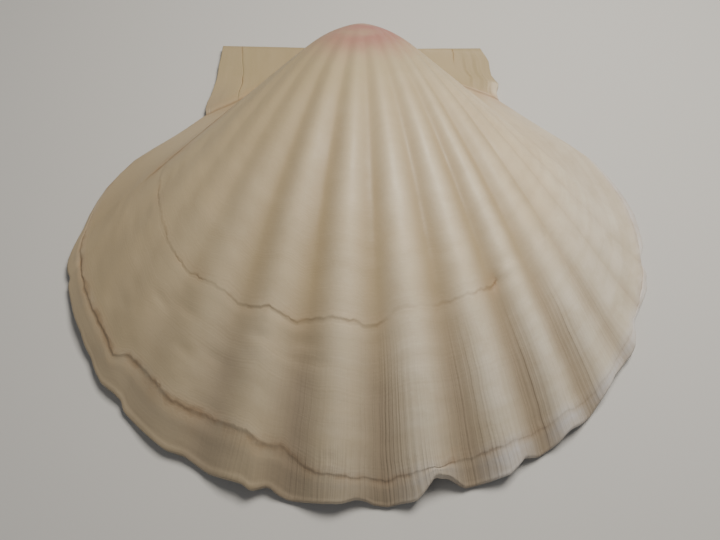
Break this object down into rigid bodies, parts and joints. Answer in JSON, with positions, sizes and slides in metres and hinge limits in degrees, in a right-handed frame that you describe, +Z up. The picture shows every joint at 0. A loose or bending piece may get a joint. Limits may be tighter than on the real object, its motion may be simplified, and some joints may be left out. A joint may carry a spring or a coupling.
{
  "type": "great scallop shell valve",
  "caption": "Deep lower valve of a great scallop: a ribbed fan-shaped cup with two hinge ears, lying mouth down on its worn edge.",
  "frame": {"origin": "under the middle of the valve's bounding box, on the table it rests on", "axes": "+X along the hinge line towards the ear that lies on the right in the picture, +Y from the far edge towards the hinge, +Z up, out of the ribbed outside"},
  "size_m": [0.1216, 0.11, 0.0286],
  "materials": {
    "shell": "worn shell, cream, dull outside and smooth inside"
  },
  "bodies": {
    "root": {"scallop_valve": "shell"}
  },
  "joints": []
}
